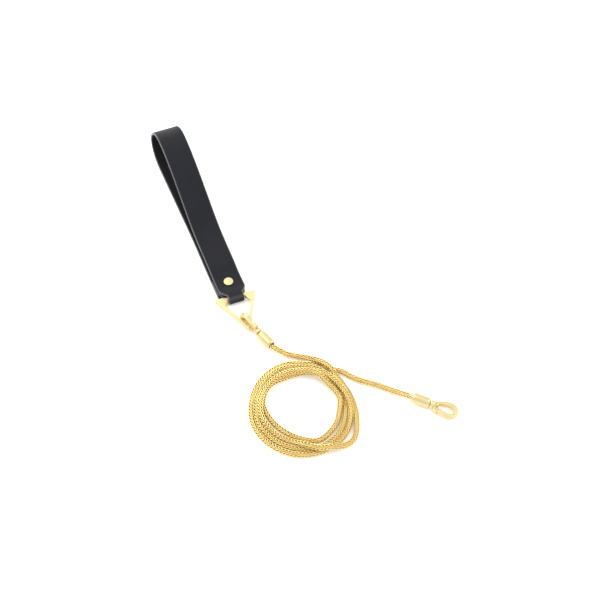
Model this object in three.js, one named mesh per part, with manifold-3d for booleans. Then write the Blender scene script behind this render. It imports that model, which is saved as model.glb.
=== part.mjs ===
// Leather hand loop on a triangular ring, clipped to a long gold chain that has a swivel snap hook
// at each end and lies coiled on the table. Millimetres, +Z up, table at Z = 0.
// +Y runs from the ring along the hand loop to its far bend.
import * as THREE from 'three';
import { mergeVertices } from 'three/addons/utils/BufferGeometryUtils.js';
import Module from 'manifold-3d';

const wasm = await Module();
wasm.setup();

// ---- driving dimensions -----------------------------------------------------------------------

// hand loop: one strip of leather, its side view drawn in (Y, Z) from the ring's bar at Y = 0
const STRAP_WIDTH = 25;
const LEATHER = 2.15;                 // thickness
const LAYER = 2.25;                   // spacing of the stacked layers, so they keep 0.1 clear
const NECK_HALF = 7.3;                // half width of the neck that wraps the bar
const SHOULDER_Y = 6.2;               // where the full width starts
const SHOULDER_OUT_R = 3.4;           // round corner of the shoulder
const FLAP_END_Y = 24;                // the neck folds back under the front layer to here
const BACK_END_Y = 5.8;               // the back layer stops here, beside the neck
const LOOP_LENGTH = 197;
const BAR_Z = 4.7;

// triangular ring
const BAR_R = 1.9;
const RING_THICK = 3.0;
const RING_ARM = 2.6;                 // width of each arm, seen from above
const RING_LENGTH = 37.5;             // bar to the point where the arms' centre lines meet
const RING_HALF = 16.7;               // half width at the bar, on the arms' centre lines
const RING_YAW = THREE.MathUtils.degToRad(-2);
const RING_TILT = THREE.MathUtils.degToRad(-2.7); // the point rests on the hook, a little higher

// rivet
const RIVET_Y = 17.6;
const RIVET_HEAD_R = 4.35;
const RIVET_SHANK_R = 1.5;

// end unit: ferrule, swivel pin and snap hook, drawn along +X with the ferrule's face at X = 0
const FERRULE_R = 4.5;
const FERRULE_LENGTH = 16;
const SWIVEL_R = 1.5;
const HOOK_LENGTH = 25.2;
const HOOK_THICK = 3.7;
const EYE_HALF = 3.5;                 // half width of the eye
const HOOK_HALF = 7.7;                // half width outside
const GATE_PIN = new THREE.Vector2(6.6, 4.5);
const GATE_REACH = 9.4;               // from the pin to the seam at the nose
const GATE_PIN_R = 0.65;

// chain
const CHAIN_R = 2.6;
const SOCKET_DEPTH = 3.5;             // the chain's end sits this deep in the ferrule
const COIL_CENTRE = [12.3, -134.1];
const COIL_HALF = [46.2, 51.4];       // outer half sizes along X and Y
const COIL_BAND = 16;                 // width of the bundle of turns
const COIL_HEIGHT = 10.6;
const COIL_FLARE = 0.07;              // share of its width gained at one end, lost at the other

const CLEAR = 0.12;                   // running clearance between moving pieces
const FLOOR_GAP = 0.05;

// ---- materials --------------------------------------------------------------------------------

const gold = () => new THREE.MeshStandardMaterial({ color: 0xeccb7a, metalness: 1, roughness: 0.22 });
const steel = () => new THREE.MeshStandardMaterial({ color: 0xb9bcc0, metalness: 1, roughness: 0.35 });
const leather = () => new THREE.MeshStandardMaterial({ color: 0x1b1c1f, metalness: 0, roughness: 0.5 });
const braid = () => new THREE.MeshStandardMaterial({ color: 0xd9b04f, metalness: 1, roughness: 0.3 });

// ---- helpers ----------------------------------------------------------------------------------

function solid(geometry) {
  const bare = geometry.clone();
  bare.deleteAttribute('normal');
  bare.deleteAttribute('uv');
  const merged = mergeVertices(bare, 1e-4);
  return new wasm.Manifold(new wasm.Mesh({
    numProp: 3,
    vertProperties: new Float32Array(merged.attributes.position.array),
    triVerts: new Uint32Array(merged.index.array),
  }));
}

function geometryOf(manifold) {
  const mesh = manifold.getMesh();
  const geometry = new THREE.BufferGeometry();
  geometry.setAttribute('position', new THREE.BufferAttribute(new Float32Array(mesh.vertProperties), 3));
  geometry.setIndex(new THREE.BufferAttribute(new Uint32Array(mesh.triVerts), 1));
  geometry.computeVertexNormals();
  return geometry;
}

function named(name, geometry, material) {
  const mesh = new THREE.Mesh(geometry, material);
  mesh.name = name;
  return mesh;
}

// A prism of an outline in (X, Y), from z0 to z1.
function prism(shape, z0, z1, bevel = 0) {
  const geometry = new THREE.ExtrudeGeometry(shape, {
    depth: z1 - z0 - 2 * bevel, curveSegments: 8,
    bevelEnabled: bevel > 0, bevelSize: bevel, bevelThickness: bevel, bevelOffset: -bevel, bevelSegments: 2,
  });
  return geometry.translate(0, 0, z0 + bevel);
}

// A cylinder whose axis is Z, at (x, y).
function disc(x, y, radius, z0, z1, sides = 24) {
  const geometry = new THREE.CylinderGeometry(radius, radius, z1 - z0, sides);
  return geometry.rotateX(Math.PI / 2).translate(x, y, (z0 + z1) / 2);
}

// A turned piece about the X axis: profile points are (x along the axis, radius).
function turned(profile, sides = 24) {
  const points = profile.map(([x, r]) => new THREE.Vector2(r, x));
  return new THREE.LatheGeometry(points, sides).rotateZ(-Math.PI / 2).rotateX(Math.PI / 2);
}

function outline(points) {
  return new THREE.Shape(points.map(([x, y]) => new THREE.Vector2(x, y)));
}

// ---- hand loop --------------------------------------------------------------------------------

// Centre line of the strip in the side view, from the flap's end round the bar, along the raised
// front layer, round the far bend and back along the table to the stack under the rivet.
function strapCentreLine() {
  const bottom = FLOOR_GAP + LEATHER / 2;
  const middle = bottom + LAYER;
  const top = middle + LAYER;
  const wrap = BAR_R + 0.3 + LEATHER / 2;
  const roundBar = [270, 240, 210, 180, 150, 120, 90].map((degrees) => {
    const turn = THREE.MathUtils.degToRad(degrees);
    return [wrap * Math.cos(turn), BAR_Z + wrap * Math.sin(turn)];
  });
  const route = [
    [FLAP_END_Y, middle], [18, middle], [11, middle], [6.6, middle - 0.05], [3.4, middle - 0.9],
    ...roundBar,
    [4.2, BAR_Z + wrap - 0.4], [9.5, top + 0.5], [14, top + 0.02], [RIVET_Y, top], [22, top + 0.02],
    [28, top + 0.7], [36, 8.2], [46, 9.4], [59, 10.9], [74, 13.6],
    [86, 17.5], [99, 22.9], [112, 28.2], [125, 33.6], [138, 38.2], [151, 42.0], [163, 44.1],
    [174, 43.8], [184.5, 38.7], [192.5, 30.2], [LOOP_LENGTH - LEATHER / 2, 20], [194.0, 11.0],
    [187.5, 4.4], [178, 1.45], [166, bottom], [150, bottom], [110, bottom], [70, bottom], [35, bottom],
    [15, bottom], [BACK_END_Y, bottom],
  ].map(([y, z]) => new THREE.Vector3(y, z, 0));
  return new THREE.CatmullRomCurve3(route, false, 'centripetal');
}

function strapShape() {
  const curve = strapCentreLine();
  const STEPS = 96;
  const left = [];
  const right = [];
  for (let i = 0; i <= STEPS; i += 1) {
    const at = curve.getPoint(i / STEPS);
    const along = curve.getTangent(i / STEPS);
    const side = new THREE.Vector2(-along.y, along.x).multiplyScalar(LEATHER / 2);
    left.push(new THREE.Vector2(at.x + side.x, at.y + side.y));
    right.push(new THREE.Vector2(at.x - side.x, at.y - side.y));
  }
  return new THREE.Shape(left.concat(right.reverse()));
}

// What is cut away on one side (+1 or -1) so that only the neck reaches the bar.
function shoulderCutter(side) {
  const half = STRAP_WIDTH / 2;
  const neckR = half - NECK_HALF - SHOULDER_OUT_R;
  const shape = new THREE.Shape();
  shape.moveTo(side * NECK_HALF, -8);
  shape.lineTo(side * NECK_HALF, SHOULDER_Y - neckR);
  shape.quadraticCurveTo(side * NECK_HALF, SHOULDER_Y, side * (NECK_HALF + neckR), SHOULDER_Y);
  shape.quadraticCurveTo(side * half, SHOULDER_Y, side * (half + 0.05), SHOULDER_Y + SHOULDER_OUT_R);
  shape.lineTo(side * (half + 3), SHOULDER_Y + SHOULDER_OUT_R);
  shape.lineTo(side * (half + 3), -8);
  shape.closePath();
  return solid(prism(shape, FLOOR_GAP + LEATHER + 0.05, 14))
    .add(solid(prism(outline([
      [side * NECK_HALF, -8], [side * (half + 3), -8], [side * (half + 3), BACK_END_Y - 0.1],
      [side * NECK_HALF, BACK_END_Y - 0.1]]), -1, FLOOR_GAP + LEATHER + 0.1)));
}

function handStrap() {
  // drawn in (Y, Z), pulled along X
  const side = new THREE.ExtrudeGeometry(strapShape(), { depth: STRAP_WIDTH, bevelEnabled: false });
  side.applyMatrix4(new THREE.Matrix4().makeBasis(
    new THREE.Vector3(0, 1, 0), new THREE.Vector3(0, 0, 1), new THREE.Vector3(1, 0, 0)));
  side.translate(-STRAP_WIDTH / 2, 0, 0);
  const hole = disc(0, RIVET_Y, RIVET_SHANK_R + CLEAR, -1, 9, 16);
  return geometryOf(solid(side).subtract(shoulderCutter(1)).subtract(shoulderCutter(-1)).subtract(solid(hole)));
}

// Rivet: a low domed cap on top of the stack and a tubular post with a flat foot let into the bottom.
const STACK_TOP = FLOOR_GAP + LEATHER + 2 * LAYER;

function rivetCap() {
  const low = STACK_TOP + 0.25;
  const profile = [
    [0, low], [RIVET_HEAD_R, low], [RIVET_HEAD_R, low + 0.5], [RIVET_HEAD_R - 0.5, low + 0.9],
    [RIVET_HEAD_R * 0.5, low + 1.15], [0, low + 1.2],
  ].map(([r, z]) => new THREE.Vector2(r, z));
  return new THREE.LatheGeometry(profile, 24).rotateX(Math.PI / 2).translate(0, RIVET_Y, 0);
}

function rivetPost() {
  const profile = [[0, 0.3], [RIVET_SHANK_R, 0.3], [RIVET_SHANK_R, STACK_TOP + 0.1], [0, STACK_TOP + 0.1]]
    .map(([r, z]) => new THREE.Vector2(r, z));
  return new THREE.LatheGeometry(profile, 16).rotateX(Math.PI / 2).translate(0, RIVET_Y, 0);
}

// ---- triangular ring --------------------------------------------------------------------------

// Flat triangle in its own frame: bar along X at Y = 0, point towards -Y. The arms widen into
// wedge-shaped corners, and the bar joins them through the leather neck.
function triangleRing() {
  const slope = RING_HALF / RING_LENGTH;
  const across = (RING_ARM / 2) * Math.hypot(1, slope);   // arm's half width measured along X
  const edge = (y, offset) => slope * (RING_LENGTH + y) + offset;
  const tip = RING_LENGTH - 2.6;
  const outer = new THREE.Shape();
  outer.moveTo(-edge(1.9, across), 1.9);
  outer.lineTo(-edge(-tip, across), -tip);
  outer.quadraticCurveTo(0, -RING_LENGTH - 1.2, edge(-tip, across), -tip);
  outer.lineTo(edge(1.9, across), 1.9);
  outer.closePath();
  const corner = -5.4;                                     // the wedge corners end here
  const inTip = RING_LENGTH - 6.2;
  const inner = new THREE.Path();
  inner.moveTo(8.3, -1.2);
  inner.lineTo(9.4, corner + 0.8);
  inner.lineTo(edge(corner - 2.4, -across), corner - 2.4);
  inner.lineTo(edge(-inTip, -across), -inTip);
  inner.quadraticCurveTo(0, -RING_LENGTH + 3.4, -edge(-inTip, -across), -inTip);
  inner.lineTo(-edge(corner - 2.4, -across), corner - 2.4);
  inner.lineTo(-9.4, corner + 0.8);
  inner.lineTo(-8.3, -1.2);
  inner.closePath();
  outer.holes.push(inner);
  const plate = solid(prism(outer, -RING_THICK / 2, RING_THICK / 2, 0.5));
  // the gap that the leather neck fills, with the round bar through it
  const gap = solid(prism(outline([[-8.0, -3], [8.0, -3], [8.0, 3], [-8.0, 3]]), -3, 3));
  const bar = solid(new THREE.CylinderGeometry(BAR_R, BAR_R, 18, 20).rotateZ(Math.PI / 2));
  return geometryOf(plate.subtract(gap).add(bar));
}

// ---- end unit ---------------------------------------------------------------------------------

// Turned barrel: a socket for the chain at one end, a hollow for the swivel pin's head at the other.
function ferrule() {
  const L = FERRULE_LENGTH;
  return turned([
    [-9, 0], [-9, 3.0], [-1.6, 3.0], [-1.6, SWIVEL_R + CLEAR], [0, SWIVEL_R + CLEAR], [0, 3.1],
    [-0.5, 3.7], [-1.6, FERRULE_R - 0.25], [-3.2, FERRULE_R], [-L + 2.2, FERRULE_R], [-L + 0.8, FERRULE_R - 0.2],
    [-L, FERRULE_R - 0.8], [-L, CHAIN_R + 0.4], [-L + SOCKET_DEPTH + 0.3, CHAIN_R + 0.4],
    [-L + SOCKET_DEPTH + 0.3, 0],
  ].reverse());
}

function swivelPin() {
  return turned([[-3.6, 0], [-3.6, 2.2], [-3.3, 2.6], [-2.5, 2.6], [-2.5, SWIVEL_R], [3.0, SWIVEL_R], [3.0, 0]],
    20);
}

function swivelWasher() {
  return turned([[-2.35, SWIVEL_R + CLEAR], [-2.35, 2.8], [-1.75, 2.8], [-1.75, SWIVEL_R + CLEAR],
    [-2.35, SWIVEL_R + CLEAR]], 20);
}

// The closed link that hook and gate are both cut from: an egg-shaped plate with a long eye.
function linkPlate() {
  const noseX = HOOK_LENGTH - HOOK_HALF;
  const shape = new THREE.Shape();
  shape.moveTo(2.4, -2.9);
  shape.bezierCurveTo(6, -3.6, 8.5, -HOOK_HALF, noseX, -HOOK_HALF);
  shape.absarc(noseX, 0, HOOK_HALF, -Math.PI / 2, Math.PI / 2, false);
  shape.bezierCurveTo(8.5, HOOK_HALF, 6, 3.6, 2.4, 2.9);
  shape.closePath();
  const eyeX = noseX + 0.4;
  const eye = new THREE.Path();
  eye.moveTo(eyeX, EYE_HALF);
  eye.absarc(eyeX, 0, EYE_HALF, Math.PI / 2, -Math.PI / 2, true);
  eye.bezierCurveTo(13, -EYE_HALF, 9.5, -2.6, 8.0, -1.9);
  eye.quadraticCurveTo(6.2, 0, 8.0, 1.9);
  eye.bezierCurveTo(9.5, 2.6, 13, EYE_HALF, eyeX, EYE_HALF);
  shape.holes.push(eye);
  return solid(prism(shape, -HOOK_THICK / 2, HOOK_THICK / 2, 0.9));
}

// The side of the link that opens, from a corner at (fromX, fromY) out to a reach from the pin.
function gateZone(fromX, fromY, reach) {
  const side = solid(prism(outline([[fromX, fromY], [30, fromY], [30, 12], [fromX, 12]]), -4, 4));
  return side.intersect(solid(disc(GATE_PIN.x, GATE_PIN.y, reach, -4, 4, 48)));
}

const pinDisc = (radius, z0, z1, sides) => solid(disc(GATE_PIN.x, GATE_PIN.y, radius, z0, z1, sides));
const EAR_R = 2.3;
const TONGUE_HALF = 0.65;

function hookBody() {
  const half = HOOK_THICK / 2;
  const boss = solid(turned([[0.6, 0], [0.6, 2.9], [1.1, 3.3], [3.2, 3.3], [4.6, 2.7], [4.6, 0]], 24));
  const ears = pinDisc(EAR_R, -half, half, 24);
  const bore = solid(turned([[0, 0], [0, SWIVEL_R + CLEAR], [3.2, SWIVEL_R + CLEAR], [3.2, 0]], 20));
  return linkPlate()
    .add(boss)
    .subtract(gateZone(GATE_PIN.x - 0.6, 1.0, GATE_REACH + CLEAR))
    .add(ears)
    .subtract(pinDisc(EAR_R + 0.35, -TONGUE_HALF - CLEAR, TONGUE_HALF + CLEAR, 24))
    .subtract(pinDisc(GATE_PIN_R + CLEAR, -4, 4, 16))
    .subtract(bore);
}

function gate() {
  const hub = pinDisc(EAR_R + CLEAR, -4, 4, 24);
  const core = solid(new THREE.BoxGeometry(30, 30, 2 * TONGUE_HALF)).translate([GATE_PIN.x, GATE_PIN.y, 0]);
  const arm = linkPlate().intersect(gateZone(GATE_PIN.x + 0.3, 2.5, GATE_REACH));
  return arm.subtract(hub)
    .add(arm.intersect(core).intersect(hub))
    .add(pinDisc(EAR_R - CLEAR, -TONGUE_HALF, TONGUE_HALF, 24))
    .subtract(pinDisc(GATE_PIN_R + CLEAR, -4, 4, 16));
}

// Strip spring on the floor of the slot, bearing on the gate's round heel.
function gateSpring() {
  const shape = new THREE.Shape();
  shape.absarc(GATE_PIN.x, GATE_PIN.y, EAR_R + 0.28, Math.PI * 1.05, Math.PI * 1.42, false);
  shape.absarc(GATE_PIN.x, GATE_PIN.y, EAR_R + 0.05, Math.PI * 1.42, Math.PI * 1.05, true);
  return prism(shape, -0.5, 0.5);
}

function endUnit(prefix) {
  const unit = new THREE.Group();
  unit.add(named(`${prefix}_ferrule`, ferrule(), gold()));
  unit.add(named(`${prefix}_swivel_pin`, swivelPin(), steel()));
  unit.add(named(`${prefix}_swivel_washer`, swivelWasher(), steel()));
  unit.add(named(`${prefix}_hook`, geometryOf(hookBody()), gold()));
  unit.add(named(`${prefix}_gate`, geometryOf(gate()), gold()));
  unit.add(named(`${prefix}_gate_pin`, disc(GATE_PIN.x, GATE_PIN.y, GATE_PIN_R, -1.6, 1.6, 14), steel()));
  unit.add(named(`${prefix}_gate_spring`, gateSpring(), steel()));
  return unit;
}

// ---- placing the end units --------------------------------------------------------------------

// Handle clip: its plate stands on edge with the ring's point in its eye, the ferrule slopes down.
const handleUnit = endUnit('handle_clip');
handleUnit.position.set(5.55, -46.9, 6.2);
handleUnit.rotation.set(Math.PI / 2, THREE.MathUtils.degToRad(-5), THREE.MathUtils.degToRad(110), 'ZYX');

// Free clip: lies flat at the end of the chain, gate towards the coil.
const freeUnit = endUnit('free_clip');
freeUnit.position.set(114.9, -169.4, 4.62);
freeUnit.rotation.set(Math.PI, THREE.MathUtils.degToRad(5), THREE.MathUtils.degToRad(-43.5), 'ZYX');

// ---- chain ------------------------------------------------------------------------------------

// A point on an end unit's axis, x from the ferrule's face.
function onAxis(unit, x) {
  unit.updateMatrix();
  return new THREE.Vector3(x, 0, 0).applyMatrix4(unit.matrix);
}

function chainTube(points, steps) {
  const path = new THREE.CatmullRomCurve3(points, false, 'centripetal');
  const section = new THREE.Shape();
  section.absarc(0, 0, CHAIN_R, 0, 2 * Math.PI, false);
  return new THREE.ExtrudeGeometry(section, { steps, extrudePath: path, curveSegments: 5, bevelEnabled: false });
}

const CHAIN_Z = CHAIN_R + FLOOR_GAP;
const exitX = -FERRULE_LENGTH + SOCKET_DEPTH;
const runStart = [
  onAxis(handleUnit, exitX), onAxis(handleUnit, -FERRULE_LENGTH - 2),
  new THREE.Vector3(16.0, -69.4, CHAIN_Z + 1.2), new THREE.Vector3(20.3, -74.2, CHAIN_Z + 0.3),
  new THREE.Vector3(26.0, -78.6, CHAIN_Z), new THREE.Vector3(32.0, -82.2, CHAIN_Z),
];
const runEnd = [
  new THREE.Vector3(57.6, -109.6, CHAIN_Z), new THREE.Vector3(62.3, -116.6, CHAIN_Z),
  new THREE.Vector3(68.4, -123.8, CHAIN_Z), new THREE.Vector3(75.6, -129.9, CHAIN_Z),
  new THREE.Vector3(82.7, -136.0, CHAIN_Z), new THREE.Vector3(89.5, -142.5, CHAIN_Z + 0.3),
  new THREE.Vector3(96.0, -149.4, CHAIN_Z + 1.3),
  onAxis(freeUnit, -FERRULE_LENGTH - 2), onAxis(freeUnit, exitX),
];

function chainCoil() {
  const bundle = [];
  const SIDES = 10;
  for (let i = 0; i <= SIDES; i += 1) {
    const turn = (2 * Math.PI * i) / SIDES;
    bundle.push(new THREE.Vector2(
      COIL_HALF[0] - COIL_BAND / 2 + (COIL_BAND / 2) * Math.cos(turn),
      (COIL_HEIGHT / 2) * Math.sin(turn)));
  }
  const coil = new THREE.LatheGeometry(bundle, 36)
    .rotateX(Math.PI / 2)
    .scale(1, COIL_HALF[1] / COIL_HALF[0], 1);
  const at = coil.getAttribute('position');
  for (let i = 0; i < at.count; i += 1) {                  // wider at the end away from the strap
    at.setX(i, at.getX(i) * (1 - (COIL_FLARE * at.getY(i)) / COIL_HALF[1]));
  }
  coil.translate(COIL_CENTRE[0], COIL_CENTRE[1], COIL_HEIGHT / 2 + FLOOR_GAP);
  coil.computeVertexNormals();
  return coil;
}

// ---- assembly ---------------------------------------------------------------------------------

const ring = named('triangle_ring', triangleRing(), gold());
ring.position.set(0, 0, BAR_Z);
ring.rotation.set(RING_TILT, 0, RING_YAW, 'ZYX');

const assembly = new THREE.Group();
assembly.add(named('hand_strap', handStrap(), leather()));
assembly.add(named('rivet_cap', rivetCap(), gold()));
assembly.add(named('rivet_post', rivetPost(), gold()));
assembly.add(ring, handleUnit, freeUnit);

// The origin goes to the middle of the pieces' box, chain left out, at table height.
const box = new THREE.Box3().setFromObject(assembly, true);
assembly.add(named('chain_run_to_coil', chainTube(runStart, 16), braid()));
assembly.add(named('chain_coil', chainCoil(), braid()));
assembly.add(named('chain_run_to_clip', chainTube(runEnd, 20), braid()));
assembly.position.set(-(box.min.x + box.max.x) / 2, -(box.min.y + box.max.y) / 2, -box.min.z);

const wristlet = new THREE.Group();
wristlet.add(assembly);
export default wristlet;
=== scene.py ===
"""Leather hand loop on a triangular ring, clipped to a coiled gold chain with a snap hook at each end.

Lengths in the lists and constants are millimetres, unless a comment says metres. They are measured from
the ring's bar: +Y along the hand loop, +Z up from the table. at() and placed() take them to the frame.
"""
import math

import bmesh
import bpy
import numpy as np
from mathutils import Matrix, Vector


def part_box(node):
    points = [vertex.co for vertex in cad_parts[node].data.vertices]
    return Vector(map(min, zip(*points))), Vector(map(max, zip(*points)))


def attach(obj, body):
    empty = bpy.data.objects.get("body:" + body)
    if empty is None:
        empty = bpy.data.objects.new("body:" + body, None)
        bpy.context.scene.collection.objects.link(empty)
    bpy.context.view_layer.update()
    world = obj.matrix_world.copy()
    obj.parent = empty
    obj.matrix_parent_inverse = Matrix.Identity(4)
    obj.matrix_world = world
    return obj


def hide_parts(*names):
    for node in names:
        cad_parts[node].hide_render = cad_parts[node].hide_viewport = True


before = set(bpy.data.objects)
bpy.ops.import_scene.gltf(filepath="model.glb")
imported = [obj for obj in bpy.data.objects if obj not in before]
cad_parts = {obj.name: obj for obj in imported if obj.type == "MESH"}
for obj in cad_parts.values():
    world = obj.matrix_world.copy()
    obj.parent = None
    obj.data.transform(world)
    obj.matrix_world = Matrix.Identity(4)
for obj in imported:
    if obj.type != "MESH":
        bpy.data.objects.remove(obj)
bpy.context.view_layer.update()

MM = 0.001

# ---- driving dimensions, as in the CAD --------------------------------------------------------

STRAP_WIDTH = 25.0
LEATHER = 2.15
LAYER = 2.25
NECK_HALF = 7.3
SHOULDER_Y = 6.2
FLAP_END_Y = 24.0
BACK_END_Y = 5.8
LOOP_LENGTH = 197.0
BAR_Z = 4.7
BAR_R = 1.9
RING_THICK = 3.0
RING_ARM = 2.6
RING_LENGTH = 37.5
RING_HALF = 16.7
RING_YAW = math.radians(-2)
RING_TILT = math.radians(-2.7)
RIVET_Y = 17.6
RIVET_HEAD_R = 4.35
FERRULE_R = 4.5
FERRULE_LENGTH = 16.0
SWIVEL_R = 1.5
HOOK_LENGTH = 25.2
HOOK_THICK = 3.7
EYE_HALF = 3.5
HOOK_HALF = 7.7
GATE_PIN = (6.6, 4.5)
GATE_REACH = 9.4
GATE_PIN_R = 0.65
EAR_R = 2.3
TONGUE_HALF = 0.65
CHAIN_R = 2.6
SOCKET_DEPTH = 3.5
COIL_CENTRE = (12.3, -134.1)
CLEAR = 0.12
FLOOR_GAP = 0.05
THROUGH = 5.0                         # half the depth of a cut that goes right through a clip

# The hand loop's box gives the place of the ring's bar, from which everything is measured.
strap_low, strap_high = (Vector(corner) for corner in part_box("hand_strap"))
ORIGIN = Vector((
    (strap_low.x + strap_high.x) / 2,
    strap_high.y - LOOP_LENGTH * MM,
    strap_low.z - FLOOR_GAP * MM,
))


def at(x, y, z=0.0):
    return ORIGIN + Vector((x, y, z)) * MM


def placed(x, y, z, rx=0.0, ry=0.0, rz=0.0):
    """Matrix that takes a piece drawn in millimetres, turned about X, then Y, then Z, to its place."""
    turn = Matrix.Rotation(rz, 4, "Z") @ Matrix.Rotation(ry, 4, "Y") @ Matrix.Rotation(rx, 4, "X")
    return Matrix.Translation(at(x, y, z)) @ turn @ Matrix.Scale(MM, 4)


# Where pieces are drawn: on the table under the bar, in the ring's own plane, and along each swivel's axis
# with +X from the ferrule's face to the hook's nose.
TABLE = placed(0, 0, 0)
RING = placed(0, 0, BAR_Z, RING_TILT, 0, RING_YAW)
HANDLE_UNIT = placed(5.55, -46.9, 6.2, math.pi / 2, math.radians(-5), math.radians(110))
FREE_UNIT = placed(114.9, -169.4, 4.62, math.pi, math.radians(5), math.radians(-43.5))

# ---- camera -----------------------------------------------------------------------------------

CAMERA_DISTANCE = 1.66                # metres
CAMERA_ELEVATION = math.radians(52)
CAMERA_TURN = math.radians(21.5)      # the view looks along +Y, turned this far towards +X
CAMERA_ANGLE = math.radians(18.4025)  # from one side of the view to the other
CAMERA_AIM = (53.9, -20.5)
CAMERA_NEAR = 0.05                    # metres


def make_camera():
    data = bpy.data.cameras.new("view")
    data.angle = CAMERA_ANGLE
    data.clip_start = CAMERA_NEAR
    camera = bpy.data.objects.new("view", data)
    back = Vector((-math.sin(CAMERA_TURN), -math.cos(CAMERA_TURN), 0)) * math.cos(CAMERA_ELEVATION)
    back.z = math.sin(CAMERA_ELEVATION)
    camera.location = at(*CAMERA_AIM) + CAMERA_DISTANCE * back
    camera.rotation_euler = back.to_track_quat("Z", "Y").to_euler()
    bpy.context.scene.collection.objects.link(camera)
    bpy.context.scene.camera = camera


make_camera()

# ---- materials --------------------------------------------------------------------------------


class Nodes:
    """Small helper to write a node tree as nested calls."""

    def __init__(self, name):
        self.material = bpy.data.materials.new(name)
        self.material.use_nodes = True
        self.tree = self.material.node_tree
        self.shader = self.tree.nodes["Principled BSDF"]

    def add(self, kind, inputs=(), **settings):
        node = self.tree.nodes.new(kind)
        for key, value in settings.items():
            setattr(node, key, value)
        for key, value in dict(inputs).items():
            self.put(node.inputs[key], value)
        return node

    def put(self, socket, value):
        if isinstance(value, bpy.types.NodeSocket):
            self.tree.links.new(value, socket)
        else:
            socket.default_value = value

    def noise(self, scale, detail=2.0, roughness=0.5, stretch=None):
        source = self.add("ShaderNodeTexCoord").outputs["Object"]
        if stretch:
            mapping = self.add("ShaderNodeMapping", {"Vector": source, "Scale": stretch})
            source = mapping.outputs["Vector"]
        return self.add("ShaderNodeTexNoise", {
            "Vector": source, "Scale": scale, "Detail": detail, "Roughness": roughness}).outputs["Fac"]

    def span(self, value, low, high, to_low, to_high):
        return self.add("ShaderNodeMapRange", {
            "Value": value, "From Min": low, "From Max": high,
            "To Min": to_low, "To Max": to_high}).outputs["Result"]

    def mix(self, factor, first, second):
        node = self.add("ShaderNodeMix", data_type="RGBA")
        for index, value in ((0, factor), (6, first), (7, second)):
            self.put(node.inputs[index], value)
        return node.outputs[2]

    def math(self, operation, first, second=0.0):
        node = self.add("ShaderNodeMath", operation=operation)
        self.put(node.inputs[0], first)
        self.put(node.inputs[1], second)
        return node.outputs[0]

    def bump(self, height, distance, strength=1.0, normal=None):
        inputs = {"Height": height, "Distance": distance, "Strength": strength}
        if normal:
            inputs["Normal"] = normal
        return self.add("ShaderNodeBump", inputs).outputs["Normal"]

    def set(self, **inputs):
        for key, value in inputs.items():
            self.put(self.shader.inputs[key.replace("_", " ")], value)
        return self.material


def gold_material(name, bright, deep, roughness, grain):
    """Gold plate with painted shade, deeper in its hollows and concave folds, paler on its wear-bright convex
    edges, with fine polishing marks.
    """
    n = Nodes(name)
    # Pointiness: paler on convex edges, as wear, and deeper in concave folds, as painted shade.
    edges = n.span(n.add("ShaderNodeNewGeometry").outputs["Pointiness"], 0.44, 0.56, 0.0, 1.0)
    clouds = n.noise(180, 3)
    # Painted shade: ambient occlusion deepens the colour in hollows such as a hook's eye.
    hollow = n.add("ShaderNodeAmbientOcclusion", {"Distance": 0.003}, only_local=True).outputs["AO"]
    unshaded_by_ao = n.span(hollow, 0.45, 0.9, 0.0, 1.0)
    plating = n.math("ADD", n.math("MULTIPLY", clouds, 0.3), 0.35)
    tone = n.math("MULTIPLY", unshaded_by_ao, n.math("ADD", n.math("MULTIPLY", edges, 0.5), plating))
    marks = n.noise(grain, 2, 0.6, stretch=(1, 1, 6))
    return n.set(
        Base_Color=n.mix(tone, deep, bright), Metallic=1.0,
        Roughness=n.span(n.math("ADD", marks, n.math("MULTIPLY", clouds, 0.5)), 0.4, 1.1,
                         roughness * 0.75, roughness * 1.4),
        Normal=n.bump(marks, 0.00003, 0.35))


def chain_material():
    """Gold wire, bright where the chain rubs, with painted shade: dark brown down between its links."""
    n = Nodes("chain_gold")
    depth = n.add("ShaderNodeAttribute", attribute_name="rub_and_shade").outputs["Fac"]
    clouds = n.noise(240, 3)
    marks = n.noise(1400, 2, 0.6)
    # Painted shade: dark brown on the wire near the axis, down between the links, rising to bright where it
    # rubs on the outside.
    rub_and_shade = n.math("ADD", depth, n.math("MULTIPLY", n.math("SUBTRACT", clouds, 0.5), 0.3))
    wire = n.mix(n.span(rub_and_shade, 0.5, 0.95, 0.0, 1.0), (0.92, 0.57, 0.14, 1), (1.0, 0.83, 0.36, 1))
    return n.set(
        Base_Color=n.mix(n.span(rub_and_shade, 0.2, 0.6, 0.0, 1.0), (0.17, 0.075, 0.014, 1), wire), Metallic=1.0,
        Roughness=n.span(marks, 0.3, 0.7, 0.24, 0.4), Normal=n.bump(marks, 0.00002, 0.3))


def leather_material():
    """Smooth black leather with a fine pebbled grain, faint creases and slight unevenness of dye."""
    n = Nodes("black_leather")
    cells = n.add("ShaderNodeTexVoronoi", {
        "Vector": n.add("ShaderNodeTexCoord").outputs["Object"], "Scale": 1500.0},
        feature="SMOOTH_F1").outputs["Distance"]
    pores = n.noise(3800, 2)
    clouds = n.noise(45, 4, 0.6)
    creases = n.noise(160, 4, 0.65, stretch=(0.5, 2.5, 1))
    grain = n.math("ADD", n.math("MULTIPLY", cells, 0.8), n.math("MULTIPLY", pores, 0.35))
    soft = n.bump(creases, 0.0004, 0.25)
    # Painted highlight and wear: lighter on convex edges and folds, such as the neck's fold round the bar.
    wear_and_painted_light = n.span(n.add("ShaderNodeNewGeometry").outputs["Pointiness"], 0.505, 0.55, 0.0, 1.0)
    dye = n.mix(clouds, (0.0065, 0.0070, 0.0105, 1), (0.0125, 0.0130, 0.0180, 1))
    return n.set(
        Base_Color=n.mix(wear_and_painted_light, dye, (0.075, 0.075, 0.082, 1)),
        Roughness=n.span(n.math("ADD", clouds, n.math("MULTIPLY", cells, 0.4)), 0.3, 1.0, 0.42, 0.62),
        Specular_IOR_Level=0.16, Normal=n.bump(grain, 0.00012, 0.5, soft))


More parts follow.
